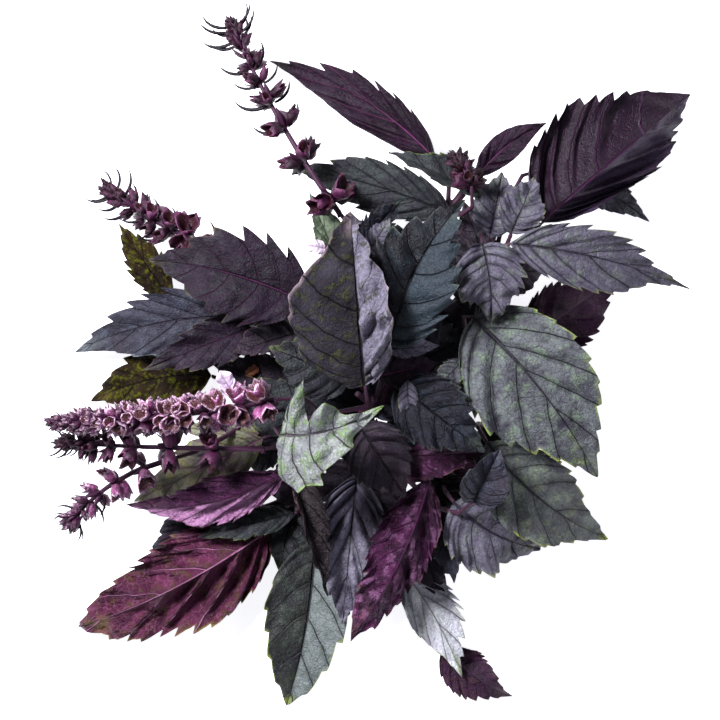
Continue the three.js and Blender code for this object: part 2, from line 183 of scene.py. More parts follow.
spines = {name: spine_of(name) for name in leaves}
lengths = [np.linalg.norm(spine["tip"] - spine["base"]) for spine in spines.values()]
print(f"blades from {min(lengths):.0f} to {max(lengths):.0f} mm long")

# %% [markdown]
# ## Colours and skins
# Basil leaves are living skin: a waxy layer over flesh that is green below and washed with purple. The
# upper side is darker and its veins are sunk; the lower side is paler or redder, and its veins stand out.
# One function makes every such skin, so that they differ only in named colours and a few numbers.


# %% Nodes
def linear(code):
    """An sRGB hex colour as linear red, green, blue and alpha."""
    parts = np.array([int(code[i:i + 2], 16) / 255 for i in (1, 3, 5)])
    light = np.where(parts <= 0.04045, parts / 12.92, ((parts + 0.055) / 1.055) ** 2.4)
    return (*light.tolist(), 1.0)


def add(tree, kind, inputs=None, **settings):
    """A new node with its settings. inputs are values, sockets or nodes, by the name or number of the
    socket they go into; of a node, its first live output is used."""
    made = tree.nodes.new("ShaderNode" + kind)
    for key, value in settings.items():
        setattr(made, key, value)
    for key, value in (inputs or {}).items():
        live = [socket for socket in made.inputs if socket.enabled]
        named = [socket for socket in live if socket.name == key]
        socket = made.inputs[key] if isinstance(key, int) else named[0]
        if isinstance(value, bpy.types.Node):
            value = next(output for output in value.outputs if output.enabled)
        if isinstance(value, bpy.types.NodeSocket):
            tree.links.new(value, socket)
        else:
            socket.default_value = value
    return made


def new_material(name):
    """An empty material and its tree."""
    material = bpy.data.materials.new(name)
    material.use_nodes = True
    material.node_tree.nodes.clear()
    return material, material.node_tree


def layered(tree, colour, coats):
    """A colour with coats laid over it. Each coat is a mask, its share of strength, and its colour."""
    for mask, share, code in coats:
        part = add(tree, "Math", {0: mask, 1: share}, operation="MULTIPLY")
        colour = add(tree, "Mix", {"Factor": part, "A": colour, "B": linear(code)}, data_type="RGBA")
    return colour


# %% [markdown]
# Side veins leave the midrib at even steps. The third veins between them draw a coarse net and the
# smallest a fine one, for which the edges of Voronoi cells are a good likeness. The blade's UV map counts
# the side veins, so that these follow its pleats, while the nets and patches follow real millimetres.

# %% Veins of a leaf
FIRST_VEIN = 0.12
VEIN_PERIOD = 0.145  # from one side vein to the next, in parts of the blade's length
FIELD = 3.6 * MM  # between the third veins
CELL = 1.3 * MM  # between the smallest


def veins_of(tree, here, uv):
    """The veins of a leaf as masks, each 1 at its start and falling to 0 over its width, by name, and what
    they are made from: the place across, the distance aside, slow noise, fields and cells."""
    slow = add(tree, "TexNoise", {"Vector": here, "Scale": 1 / (9 * MM), "Detail": 2.0})
    from_first = add(tree, "Math", {0: uv.outputs[0], 1: FIRST_VEIN}, operation="SUBTRACT")
    even = add(tree, "Math", {0: from_first, 1: VEIN_PERIOD}, operation="DIVIDE")
    count = add(tree, "Math", {0: slow, 1: 0.16, 2: even}, operation="MULTIPLY_ADD")
    to_vein = add(tree, "Math", {0: count, 1: 0.5}, operation="PINGPONG")
    across = add(tree, "Math", {0: uv.outputs[1], 1: 0.5}, operation="SUBTRACT")
    aside = add(tree, "Math", {0: across}, operation="ABSOLUTE")
    wobble = add(tree, "TexNoise", {"Vector": here, "Scale": 1 / (3 * MM), "Detail": 2.0})
    bent = add(tree, "MixRGB", {0: 0.0035, 1: here, 2: wobble.outputs["Color"]}, blend_type="ADD")
    fields = add(tree, "TexVoronoi", {"Vector": bent, "Scale": 1 / FIELD}, feature="DISTANCE_TO_EDGE")
    cells = add(tree, "TexVoronoi", {"Vector": bent, "Scale": 1 / CELL}, feature="DISTANCE_TO_EDGE")
    veins = {"across": across, "aside": aside, "slow": slow, "fields": fields, "cells": cells}
    # The two bands beside the veins and the midrib are not veins: they carry painted shade in the furrows.
    for kind, distance, start, width in (
            ("side_vein", to_vein, 0.0, 0.032), ("shade_beside_vein", to_vein, 0.0, 0.24),
            ("midrib", aside, 0.004, 0.017), ("shade_beside_midrib", aside, 0.0, 0.09),
            ("third_vein", fields, 0.0, 0.07), ("fine_vein", cells, 0.0, 0.2)):
        veins[kind] = add(tree, "MapRange", {
            "Value": distance, "From Min": start, "From Max": start + width, "To Min": 1.0, "To Max": 0.0,
        }, interpolation_type="SMOOTHSTEP")
    veins["large"] = add(tree, "Math", {0: veins["side_vein"], 1: veins["midrib"]}, operation="MAXIMUM")
    return veins


# %% Rim of a leaf
def rim_of(tree, uv, veins):
    """A mask of the margin and of the tip, which stay green or dry pale, uneven along the blade."""
    margin = add(tree, "MapRange", {"Value": veins["aside"], "From Min": 0.472, "From Max": 0.5},
                 interpolation_type="SMOOTHSTEP")
    at_tip = add(tree, "MapRange", {"Value": uv.outputs[0], "From Min": 0.9, "To Max": 0.8})
    either_edge = add(tree, "Math", {0: margin, 1: at_tip}, operation="MAXIMUM")
    uneven = add(tree, "MapRange", {"Value": veins["slow"], "From Min": 0.4, "From Max": 0.6})
    return add(tree, "Math", {0: either_edge, 1: uneven}, operation="MULTIPLY")


# %% Relief of a leaf
GRAIN = 0.5 * MM  # pores and fine hairs
RELIEF = 0.7 * MM  # depth of the whole relief
VEIN_DEPTH = 0.9  # of the large veins, as a share of it


def leaf_bump(tree, here, veins, spots, under, relief):
    """Bumps of a leaf: its large veins are ridges below and furrows above, what lies between the small
    ones swells, and its skin is uneven and grained."""
    grain = add(tree, "TexNoise", {"Vector": here, "Scale": 1 / GRAIN, "Detail": 2.0})
    way = VEIN_DEPTH if under else -VEIN_DEPTH
    height = 0.0
    for form, share in ((veins["large"], way), (veins["third_vein"], way * 0.1), (veins["fields"], 0.3),
                        (veins["cells"], 0.3), (grain, 0.5), (spots, 1.6)):
        height = add(tree, "Math", {0: form, 1: share, 2: height}, operation="MULTIPLY_ADD")
    return add(tree, "Bump", {"Strength": 1.0, "Distance": RELIEF * relief, "Height": height})


# %% Leaf skin
PATCH = 12 * MM  # patches of purple flush
MOTTLE = 4.5 * MM  # green mottles
SPECKLE = 0.9 * MM
DARK_SPECKS_AND_SHADE = "#0b080c"  # near black: dark speckles and fine veins, and painted shade in the furrows beside the veins and the midrib


def leaf_skin(name, flesh, flush, mottle, vein, rim, under=False, gloss=0.46, net=0.4, mottled=0.5,
              relief=1.0, shine=0.36, right_half=None, left_half=None, blotch=MOTTLE):
    """Skin of a leaf. The UV map's first number runs from base to tip, its second across, with the midrib
    at its middle. Veins are sunk on the upper side and raised under it. gloss is the roughness and shine
    the specular level, net and mottled say how strongly small veins and mottles show, blotch is the
    mottles' size, relief is the depth beside a plain leaf's, and right_half and left_half are colours over
    one half: on most leaves painted light where a fold turns the half to the window, and painted shade
    where it turns away. The furrows beside the veins and the midrib get painted shade as well."""
    material, tree = new_material(name)
    place = add(tree, "TexCoord")
    here = place.outputs["Object"]
    uv = add(tree, "SeparateXYZ", {0: place.outputs["UV"]})
    veins = veins_of(tree, here, uv)
    patches = add(tree, "TexNoise", {"Vector": here, "Scale": 1 / PATCH, "Detail": 5.0, "Roughness": 0.62})
    flushed = add(tree, "MapRange", {"Value": patches, "From Min": 0.42, "From Max": 0.62})
    spots = add(tree, "TexNoise", {"Vector": here, "Scale": 1 / blotch, "Detail": 6.0, "Roughness": 0.68})
    spotted = add(tree, "MapRange", {"Value": spots, "From Min": 0.51, "From Max": 0.62})
    speckles = add(tree, "TexNoise", {"Vector": here, "Scale": 1 / SPECKLE, "Detail": 3.0})
    speckled = add(tree, "MapRange", {"Value": speckles, "From Min": 0.3, "From Max": 0.72})
    coats = [(flushed, 1.0, flush)]
    # A colour over one half: on most leaves painted light where a fold turns the half to the window, and
    # painted shade where it turns away.
    for half, towards in ((right_half, 1), (left_half, -1)):
        if half:
            beyond = add(tree, "MapRange", {"Value": veins["across"], "From Max": 0.02 * towards})
            coats.append((beyond, 0.85, half))
    coats += [
        (spotted, mottled, mottle),
        # Dark speckles and the fine veins are the leaf's own; the two bands beside the veins and the midrib
        # are painted shade.
        (speckled, 0.4, DARK_SPECKS_AND_SHADE),
        (veins["fine_vein"], net * 0.4, DARK_SPECKS_AND_SHADE),
        (veins["third_vein"], net * 0.6, vein),
        (veins["shade_beside_vein"], 0.28, DARK_SPECKS_AND_SHADE),
        (veins["shade_beside_midrib"], 0.3, DARK_SPECKS_AND_SHADE),
        (rim_of(tree, uv, veins), 0.85, rim),
        (veins["large"], 0.8, vein),
    ]
    bump = leaf_bump(tree, here, veins, spots, under, relief)
    rough = add(tree, "MapRange", {
        "Value": spots, "From Min": 0.3, "From Max": 0.7, "To Min": gloss + 0.1, "To Max": gloss - 0.07,
    })
    shader = add(tree, "BsdfPrincipled", {
        "Base Color": layered(tree, linear(flesh), coats), "Roughness": rough, "IOR": 1.4,
        "Specular IOR Level": shine, "Normal": bump,
    })
    add(tree, "OutputMaterial", {"Surface": shader})
    return material


# %% [markdown]
# The finishes follow. Each has a name, the colours of its flesh, flush, mottles, veins and rim, and
# whatever else sets it apart.

# %% Finishes of the upper side
UPPER = {
    "bottle": ("bottle green", "#2b3031 #232029 #3c4840 #0e0c12 #66763a", {}),
    # lit: its left half is painted pale, the painted light on a half that the fold turns to the window.
    "lit": ("bottle green, one half painted lit", "#31362f #24252a #4c584c #100e13 #8c9c3c",
        dict(left_half="#7c8683", mottled=0.6)),
    # steel: its right half is painted lighter, a painted sheen where the fold turns it to the window.
    "steel": ("blue-grey", "#11151b #100f15 #26353a #07070b #4a5448",
        dict(gloss=0.4, right_half="#303c44")),
    # folded: its right half is painted pale lavender, a painted highlight where the fold turns it to the
    # window.
    "folded": ("brown-green, one half painted lavender", "#37333c #19141b #444a26 #120e14 #9c8a90",
        dict(right_half="#8c8798", mottled=0.7, relief=1.2, gloss=0.52, shine=0.22, blotch=3.0 * MM)),
    "drab": ("drab olive", "#868a70 #7c726c #969a60 #9a6080 #6a6c3a", dict(mottled=0.8)),
    "night": ("blue-black", "#15171f #13111a #222c36 #07060b #4a5448", dict(gloss=0.36, shine=0.22)),
    "veined": ("grey-green with dark veins", "#686d6e #34323d #74886c #18121c #8a9a44",
        dict(net=0.6, mottled=0.6)),
    "moss": ("moss green", "#6c746e #4c4a52 #82906c #1c1420 #a8b03c", dict(net=0.5)),
    "ash": ("ash grey", "#676471 #514c5c #717e6a #281d2c #8a9050", dict(net=0.5)),
    "grape": ("grape", "#150e19 #201324 #37353a #3a1634 #4c4a34", dict(gloss=0.5, shine=0.28)),
    "lavender": ("lavender grey", "#837e8e #4e4859 #9c9aa6 #150f1a #5c6466", dict(net=0.5)),
    "aubergine": ("aubergine", "#140914 #221122 #2a232c #7a3a6a #3a2c30",
        dict(gloss=0.38, shine=0.24, net=0.12)),
    "umber": ("near black", "#160e11 #1c1014 #241c18 #0a0608 #5a3c34", dict(gloss=0.4)),
    "dusk": ("brown-black", "#221a26 #2a1b2a #2c2628 #0e080e #4a3a34", {}),
    "olive": ("olive", "#2c2006 #180f05 #565a06 #140b09 #5c5020",
        dict(mottled=0.85, gloss=0.5, shine=0.14, blotch=2.2 * MM)),
    "fresh": ("young green", "#66745c #4c5a46 #8c9c7e #2c3828 #3a5a1c", dict(left_half="#33402a")),
    "slate": ("slate", "#2f2f3c #28242f #414a58 #1a111f #5c6466", dict(gloss=0.44)),
    "silver": ("silver-green", "#a9b0a8 #7d8084 #7fa35a #3c2c3a #8cac50",
        dict(net=0.55, mottled=0.75, gloss=0.34, relief=1.5, shine=0.6)),
}

# %% Finishes of the lower side
LOWER = {
    "wine": ("wine", "#48122f #66294a #544024 #b4789c #7a6a30",
        dict(gloss=0.42, relief=2.0, mottled=0.75, net=0.25)),
    "beet": ("beet", "#2e0a26 #5a204e #a06c96 #5c2450 #6a4a3c",
        dict(gloss=0.44, relief=2.2, mottled=0.6, net=0.6)),
    # rose: its right half is painted pale pink as a painted highlight; its left half is darker.
    "rose": ("rose", "#2a0a24 #421838 #5e2852 #38142e #5c3a4a",
        dict(gloss=0.4, relief=1.8, right_half="#c890bc", left_half="#380c32", mottled=0.75)),
    "mulberry": ("mulberry", "#2c0f28 #44203e #4a3030 #542250 #5a4a3c", dict(gloss=0.44, relief=1.6)),
    "plum": ("plum", "#1b0a1b #241022 #181018 #361432 #2c1c29", dict(gloss=0.36, shine=0.26, relief=0.7)),
    # violet: its left half is painted lighter, as painted light on the half that faces the window.
    "violet": ("violet-black", "#1c0a1c #220e20 #181018 #361432 #2c1c29",
        dict(gloss=0.36, shine=0.24, relief=0.7, left_half="#4c3e54")),
    "pewter": ("pewter", "#dadee0 #bab9c2 #d4ded0 #6a5a6e #8a9a60", dict(net=0.5)),
    "sage": ("sage", "#4a5046 #3e3a44 #5c6650 #3c2038 #66703e", {}),
}
FINISHES = {}
for side, table, under in (("Leaf top", UPPER, False), ("Leaf underside", LOWER, True)):
    for key, (look, colours, settings) in table.items():
        FINISHES[key] = leaf_skin(f"{side}, {look}", *colours.split(), under=under, **settings)
print(f"{len(FINISHES)} leaf skins")

# %% [markdown]
# ## Leaf blades
# A basil blade has a strong midrib, side veins that sweep forward into its margins, and flesh that swells
# up between the veins. The grid's rows follow the side veins, so pleats, veins and teeth fall into line.

# %% Rows and columns of a blade
TEETH_FIRST = 0.14  # where the first notch lies along a margin
TEETH_SPAN = 0.76  # and the share of the margin that has teeth
TOOTH_TIP = 0.8  # where in its own stretch of margin a tooth has its tip
CLIMB = np.array([0, 0.2, 0.38, 0.54, 0.67, 0.76, TOOTH_TIP])


def rows_for(teeth):
    """Places along a blade: evenly up to the first notch, then seven for each tooth, closest together at
    its tip, and evenly again to the blade's own tip."""
    foot = np.linspace(0, TEETH_FIRST, 8)[:-1]
    notches = TEETH_FIRST + TEETH_SPAN * np.arange(teeth)[:, None] / teeth
    climbs = notches + CLIMB * TEETH_SPAN / teeth
    end = np.linspace(climbs.max(), 0.998, 10)[1:]
    return np.concatenate([foot, climbs.ravel(), end])


def columns_for(width):
    """Places from one margin, -1, to the other, 1, closest together at the midrib and at the margins."""
    half = int(np.clip(width / 2.2, 6, 14))
    side = (1 - np.cos(np.pi * np.linspace(0, 1, half + 1))) / 2
    return np.concatenate([-side[:0:-1], side])


# %% Teeth
def tooth_depth(s, sizes):
    """How far the margin lies inside the line of the tooth tips: nothing at a tip, all at a notch. It
    climbs in a convex line to each tip and drops steeply behind it. sizes holds the depth of each notch,
    and one more for the last drop, in parts of a plain one."""
    place = (s - TEETH_FIRST) / TEETH_SPAN * (len(sizes) - 1)
    tooth = np.clip(place.astype(int), 0, len(sizes) - 2)
    phase = np.clip(place - tooth, 0, 1)
    climbing = (1 - np.clip(phase / TOOTH_TIP, 0, 1)) ** 1.25 * sizes[tooth]
    dropping = np.clip((phase - TOOTH_TIP) / (1 - TOOTH_TIP), 0, 1) * sizes[tooth + 1]
    teeth = np.where(phase < TOOTH_TIP, climbing, dropping)
    foot = ramp(0.03, TEETH_FIRST, s) * sizes[0]
    past = s - TEETH_FIRST - TEETH_SPAN
    end = (1 - ramp(0.0, 1 - TEETH_FIRST - TEETH_SPAN, past)) * sizes[-1]
    return np.where(s < TEETH_FIRST, foot, np.where(past > 0, end, teeth))


# %% [markdown]
# Each leaf then gets numbers of its own. *teeth* and *bite* are the number and depth of its teeth, *slip*
# how far its margins wander along it, *sweep* how far its veins run forward, *belly* the swelling of each
# half, *pleat* the height of the folds between veins, *wave* and *waves* the height and number of the
# waves of its margins, *crumple* the depth of its creases in millimetres, and *point* how much it narrows
# before its tip. *halves*, *lift* and *curl* say how wide each half is beside its solid's, how far it is
# turned up, and how far its margin is curled. They have one number for the left half and one for the
# right, which *bite*, *pleat* and *crumple* may have too. *shift* moves the whole leaf, in millimetres,
# and *outline* replaces the line of a margin.

# %% Margins of a blade
PLAIN = dict(teeth=7, bite=0.17, slip=0.02, sweep=2.2, belly=0.07, pleat=0.09, wave=0.07, waves=2.6,
             crumple=0.45, point=0.3, halves=(1.0, 1.0), lift=(0.0, 0.0), curl=(0.0, 0.0),
             shift=(0.0, 0.0, 0.0), outline=(None, None))
SIDES = ("left", "right")
RIB_KNOTS = np.append(STATIONS, 1)
TIP_KNOTS = np.concatenate([[0, 0.1], TOOTH_TIPS, [1]])
TIP_STATIONS = np.r_[0, 1, 3:len(STATIONS):2]


def rib_at(spine, at):
    """The midrib of a blade at places from its base, 0, to its tip, 1."""
    return smooth_through(RIB_KNOTS, np.vstack([spine["rib"], spine["tip"]]), at)


def margin_line(spine, side, s, outline):
    """One margin of a blade at places s: the smooth line through the tips of the solid's teeth, or an
    outline given as [share of the length, millimetres from the midrib] in equal steps from base to tip."""
    line = np.vstack([spine[side][TIP_STATIONS], spine["tip"]])
    if outline is None:
        return smooth_through(TIP_KNOTS, line, s)
    steps = np.linspace(0, 1, len(outline))
    along, across = (np.interp(s, steps, column) for column in np.array(outline).T)
    ways = unit(line[:-1] - spine["rib"][TIP_STATIONS])
    way = unit(smooth_through(TIP_KNOTS[:-1], ways, np.clip(along, 0, 0.9)))
    return rib_at(spine, along) + way * across[:, None]


def edge_of(spine, shape, half, rows, normal, chance):
    """The edge of one half of a blade before its teeth are cut, (rows, 1, 3), and how deep they are cut
    there. Its span from the midrib is narrowed towards the tip, and turned up by lift."""
    turns = chance.uniform(0, 2 * np.pi, 3)
    slip = sum(np.sin(np.pi * (k + 1) * rows + turns[k]) for k in range(3)) * np.sin(np.pi * rows) ** 0.5
    slipped = np.clip(rows + shape["slip"] * slip, 0, 1)
    outline = shape["outline"][half]
    line = margin_line(spine, SIDES[half], rows if outline else slipped, outline)[:, None]
    foot = rib_at(spine, rows)[:, None]
    drawn = 1 - shape["point"] * ramp(0.6, 0.94, rows) * (1 - ramp(0.96, 1.0, rows))
    span = (line - foot) * shape["halves"][half] * drawn[:, None, None]
    edge = foot + span + normal * np.linalg.norm(span, axis=-1, keepdims=True) * shape["lift"][half]
    sizes = chance.uniform(0.35, 1.35, shape["teeth"] + 1)
    return edge, tooth_depth(rows, sizes)[:, None, None]


# %% Relief of a blade
def by_half(v, value):
    """The first of two values where v is negative, on the left half, and the second elsewhere. A single
    number counts for both halves."""
    left, right = (value, value) if np.isscalar(value) else value
    return np.where(v < 0, left, right)


def pleats_of(veins, v, chance):
    """How far the flesh swells between the side veins: least on a vein, most half-way to the next, and by
    an amount of its own in each field."""
    count = (veins - FIRST_VEIN) / VEIN_PERIOD
    hills = chance.uniform(0.4, 1.6, (2, 10))
    field = np.clip(np.floor(count).astype(int) + 1, 0, 9)
    return np.abs(np.sin(np.pi * count)) ** 0.7 * by_half(v, (hills[0][field], hills[1][field])) - 0.55


def creases_of(points, chance):
    """Creases that run in any direction, of three sizes in millimetres: for each size, the mean of five
    sine waves along random ways."""
    total = 0
    for size, share in ((9.0, 1.0), (4.5, 0.55), (2.4, 0.25)):
        ways = unit(chance.normal(size=(5, 3)))
        beats = points @ ways.T / size * 2 * np.pi + chance.uniform(0, 6.28, 5)
        total = total + share * np.sin(beats).mean(-1, keepdims=True) * 2
    return total


def relief_of(shape, points, s, v, half, chance):
    """How far each point rises along the blade's normal, and its place along the blade as its veins count
    it, since those stand a little apart on the two halves. Most of the relief is in parts of the half
    width."""
    out = np.abs(v)
    offsets, phases = chance.uniform(-0.035, 0.035, 2), chance.uniform(0, 2 * np.pi, (2, 2))
    veins = s + by_half(v, offsets) + 0.014 * np.sin(9 * s + by_half(v, phases[0]))
    inside = np.sin(np.pi * np.clip(out, 0, 1) ** 0.8) ** 0.7 * ramp(0, 0.1, s) * (1 - ramp(0.88, 1, s))
    beat = 2 * np.pi * shape["waves"] * s + by_half(v, phases[1])
    wave = np.sin(beat) + 0.5 * np.sin(2.3 * beat + 1) + 0.25 * np.sin(5.1 * beat + 2)
    height = half * shape["belly"] * 4 * out * (1 - out)
    height = height + half * by_half(v, shape["pleat"]) * pleats_of(veins, v, chance) * inside
    height = height + half.max() * shape["wave"] * wave * out**2 * np.sin(np.pi * s) ** 0.5
    height = height + half * by_half(v, shape["curl"]) * out**3
    height = height + by_half(v, shape["crumple"]) * creases_of(points, chance) * ramp(0, 0.3, out)
    return height, veins


# %% Blade surface
ROW_BOW = 0.55  # how far a row lags behind the straight line to its margin, in parts of the half width


def blade_surface(spine, shape, chance):
    """The middle surface of a blade, (rows, columns, 3), with its normals, half widths, places across and
    along it, and UV map. A row leaves the midrib at s^sweep, turns towards the tip as it runs out, and
    ends on the margin at s. The relief is then added along the normal."""
    rows = rows_for(shape["teeth"])
    v = columns_for(np.linalg.norm(spine["right"] - spine["left"], axis=1).max())[None, :, None]
    s = rows[:, None, None]
    out = np.abs(v)
    rib = rib_at(spine, rows ** shape["sweep"])[:, None]
    normals = np.vstack([spine["normal"], spine["normal"][-1]])
    normal = unit(smooth_through(RIB_KNOTS, normals, rows))[:, None]
    along = unit(np.gradient(rib, axis=0))
    edges, bites = zip(*[edge_of(spine, shape, half, rows, normal, chance) for half in (0, 1)])
    span = by_half(v, edges) - rib
    across = span - along * (span * along).sum(-1, keepdims=True)
    half = np.linalg.norm(across, axis=-1, keepdims=True)
    bite = by_half(v, bites) * by_half(v, shape["bite"]) * out**5
    points = rib + span * (out - bite) - along * half * ROW_BOW * out * (1 - out)
    height, veins = relief_of(shape, points, s, v, half, chance)
    uv = np.concatenate(np.broadcast_arrays(veins, (v + 1) / 2), -1)
    return points + normal * height + shape["shift"], normal, half, out, s, uv


# %% A closed blade
def rim_strip(rows, columns):
    """Faces that join the rims of two grids, whose points are numbered one after the other."""
    size = rows * columns
    rim = np.concatenate([
        np.arange(columns),
        np.arange(1, rows) * columns + columns - 1,
        (rows - 1) * columns + np.arange(columns - 2, -1, -1),
        np.arange(rows - 2, 0, -1) * columns,
    ])
    following = np.roll(rim, -1)
    return np.stack([rim, rim + size, following + size, following], 1)


def leaf_piece(name, spine, shape, skins, chance):
    """A closed thin blade: the middle surface raised for the upper side and lowered for the lower, thicker
    along the midrib, which stands out below as a bell curve and thins from the stalk to the tip. Its first
    row is drawn back half a millimetre into its stalk."""
    middle, normal, half, out, s, uv = blade_surface(spine, {**PLAIN, **shape}, chance)
    rows, columns = middle.shape[:2]
    middle[0] -= unit(middle[1] - middle[0]) * 0.5
    stalk = 0.004 * np.linalg.norm(spine["tip"] - spine["base"]) + 0.55
    rib = (stalk * (1 - s) + 0.12) * np.exp(-(out * half / (0.35 + 0.55 * (1 - s))) ** 2)
    flesh = 0.05 + 0.12 * (1 - out**6)
    upper = middle + normal * (flesh + 0.3 * rib)
    lower = middle - normal * (flesh + rib)
    points = np.concatenate([upper.reshape(-1, 3), lower.reshape(-1, 3)])
    top = grid_faces(rows, columns)
    below = top[:, [0, 3, 2, 1]] + rows * columns
    strip = rim_strip(rows, columns)
    face_material = np.repeat([0, 1], [len(top), len(below) + len(strip)])
    uv = np.tile(uv.reshape(-1, 2), (2, 1))
    return new_piece(name, points, [top, below, strip], skins, face_material, uv)


# %% Three margins that aren't a plain leaf's
CRUMPLED_LEFT = [
    [0, 0], [0.03, 2], [0.12, 9.5], [0.24, 16], [0.3, 19.5], [0.27, 14.5], [0.25, 8.5], [0.27, 4],
    [0.33, 7], [0.44, 10], [0.56, 7.5], [0.59, 4], [0.72, 3], [0.9, 1.5], [1, 0],
]
CRUMPLED_RIGHT = [
    [0, 0], [0, 3], [0, 7], [0.05, 12.5], [0.11, 17], [0.16, 20.5], [0.22, 18], [0.33, 18.5],
    [0.32, 14.5], [0.39, 12.5], [0.5, 10], [0.6, 9], [0.61, 5.5], [0.72, 4], [0.87, 2], [1, 0],
]
FOLDED_UNDER = [
    [0, 0], [0.12, 8.5], [0.28, 12], [0.45, 14.5], [0.6, 17], [0.7, 16.5], [0.8, 13.8], [0.86, 11],
    [0.9, 6], [1, 0],
]

# %% Every leaf, by sprig: its upper finish, its lower finish, and what sets its shape apart
LEAVES = {
    "sprig_1": [
        ("grape", "plum", {}),
        ("dusk", "wine", dict(teeth=11, bite=0.1, sweep=3.2, pleat=(0.14, 0.28), wave=0.1,
            halves=(0.93, 1.05), crumple=1.2, point=-0.3, shift=(-0.3, -0.3, 1.5))),
        ("bottle", "sage", dict(bite=0.12)),
        ("umber", "plum", dict(teeth=8, bite=0.1, halves=(0.5, 0.5), lift=(0.5, 0.3))),
    ],
    "sprig_2": [
        ("bottle", "sage", dict(bite=0.1)),
        ("lit", "sage", dict(teeth=5, bite=0.1, lift=(0.0, 0.2), pleat=0.04, wave=0.04,
            halves=(1.03, 1.0), point=-0.1, shift=(0.6, -0.4, 0.0))),
        ("lavender", "plum", dict(teeth=8, bite=0.12, sweep=3.2, pleat=0.36, crumple=0.9)),
        ("dusk", "beet", dict(teeth=9, bite=0.14, pleat=0.1, wave=0.12, crumple=1.5, point=-0.2)),
        ("slate", "plum", dict(bite=0.06, lift=(0.25, 0.25))),
    ],
    "sprig_3": [
        ("dusk", "mulberry", dict(teeth=8, bite=0.14, shift=(1.5, 0.0, 0.0))),
        ("ash", "pewter", dict(teeth=7, bite=(0.04, 0.2), sweep=3.4, pleat=0.16, halves=(0.9, 1.0),
            lift=(0.12, 0.0), shift=(0.6, -1.0, 0.0))),
        ("slate", "plum", {}),
        ("ash", "sage", dict(teeth=9, bite=0.1, wave=0.14, pleat=0.03, crumple=0.9)),
    ],
    "sprig_4": [
        ("olive", "sage", dict(teeth=6, bite=0.15, wave=0.1)),
        ("drab", "sage", dict(teeth=7, bite=0.1)),
        ("dusk", "rose", dict(teeth=8, bite=0.1, sweep=3.0, pleat=0.13, crumple=1.4, halves=(0.76, 1.0),
            lift=(0.1, -0.35), shift=(0.0, -0.6, 0.0))),
        ("dusk", "beet", dict(bite=0.08, crumple=0.5)),
    ],
    "sprig_5": [
        ("olive", "sage", dict(teeth=6, bite=0.2, wave=0.1)),
        ("slate", "plum", dict(teeth=6, bite=(0.04, 0.2), sweep=2.4, wave=0.1, shift=(0.4, -0.8, 0.0))),
        ("grape", "plum", dict(teeth=7, bite=0.2, wave=0.12, curl=(0.2, 0.1))),
        ("dusk", "plum", dict(teeth=7, bite=0.16, wave=0.14)),
        ("grape", "plum", dict(teeth=6, bite=0.27, sweep=1.9, pleat=0.05, wave=0.05)),
        ("fresh", "sage", dict(bite=0.08, halves=(0.6, 0.95), shift=(3.5, 1.5, 0.0))),
    ],
    "sprig_6": [
        ("aubergine", "plum", dict(teeth=6, bite=(0.0, 0.16), sweep=4.0, pleat=0.17,
            shift=(-1.0, 0.2, 0.0))),
        ("bottle", "sage", dict(teeth=7, bite=0.13, sweep=2.6, pleat=0.1)),
        ("aubergine", "plum", dict(bite=0.02, pleat=0.16, wave=0.04, crumple=0.8,
            shift=(0.8, -0.8, 0.0))),
        ("bottle", "sage", dict(bite=0.08, curl=(0.3, 0.3))),
        ("night", "plum", dict(bite=0.25)),
    ],
    "sprig_7": [
        ("slate", "plum", dict(bite=0.08, shift=(0.3, -2.2, 0.0))),
        ("dusk", "mulberry", dict(teeth=9, bite=0.12, pleat=0.16, sweep=2.8)),
        ("dusk", "violet", dict(teeth=9, bite=0.1, sweep=2.9, pleat=(0.24, 0.12), wave=0.06, crumple=0.6,
            lift=(0.08, 0.0), point=0.0, halves=(1.0, 0.95), outline=(FOLDED_UNDER, None))),
        ("ash", "sage", dict(teeth=8, bite=0.14, sweep=2.6, pleat=0.12, wave=0.1, halves=(0.86, 1.0),
            point=0.6)),
        ("ash", "plum", dict(bite=0.12, wave=0.14, crumple=1.0)),
        ("ash", "plum", dict(bite=0.12, wave=0.14, crumple=1.0)),
        ("ash", "plum", dict(bite=0.16, wave=0.16, crumple=1.0, pleat=0.14)),
    ],
    "sprig_8": [
        ("moss", "sage", dict(teeth=9, bite=0.08, wave=0.09, halves=(1.0, 1.06))),
        ("night", "plum", dict(teeth=7, bite=0.16, wave=0.12)),
        ("veined", "sage", dict(teeth=8, bite=0.08, sweep=3.0, pleat=0.06, wave=0.05,
            halves=(0.88, 1.0))),
    ],
    "sprig_9": [
        ("bottle", "sage", dict(wave=0.12)),
        ("night", "plum", dict(wave=0.12)),
        ("dusk", "plum", dict(pleat=0.16, wave=0.12)),
        ("night", "plum", dict(teeth=8, bite=0.14, pleat=0.12, wave=0.1)),
        ("steel", "plum", dict(teeth=7, bite=0.3, sweep=2.0, pleat=(0.22, 0.1), wave=0.1)),
        ("folded", "pewter", dict(teeth=5, bite=0.03, sweep=2.4, pleat=(0.04, 0.34), wave=0.05,
            halves=(1.16, 0.7), lift=(0.0, -0.1), crumple=(1.1, 2.4))),
        ("silver", "sage", dict(bite=0.0, pleat=0.1, crumple=1.3,
            outline=(CRUMPLED_LEFT, CRUMPLED_RIGHT))),
    ],
}
faces = 0
for number, name in enumerate(leaves):
    sprig, leaf = name.split("_leaf_")
    upper, lower, shape = LEAVES[sprig][int(leaf) - 1]
    chance = np.random.default_rng(100 + number)
    skins = [FINISHES[upper], FINISHES[lower]]
    piece = leaf_piece("skin_" + name, spines[name], shape, skins, chance)
    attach(piece, "root")
    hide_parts(name)
    faces += len(piece.data.polygons)
print(f"{len(leaves)} blades, {faces} faces")

# %% [markdown]
# ## Young leaves deep in the bunch
# Between the large leaves the bunch is dark, because it is filled with small leaves that grow near the
# stems. They have no solid of their own. Each starts on a stem and gets a spine like the others', from a
# formula.


# %% Spine from a formula
MIDDLE = np.array([-1.6, -3.0, 0.0])  # the point that these leaves are measured from


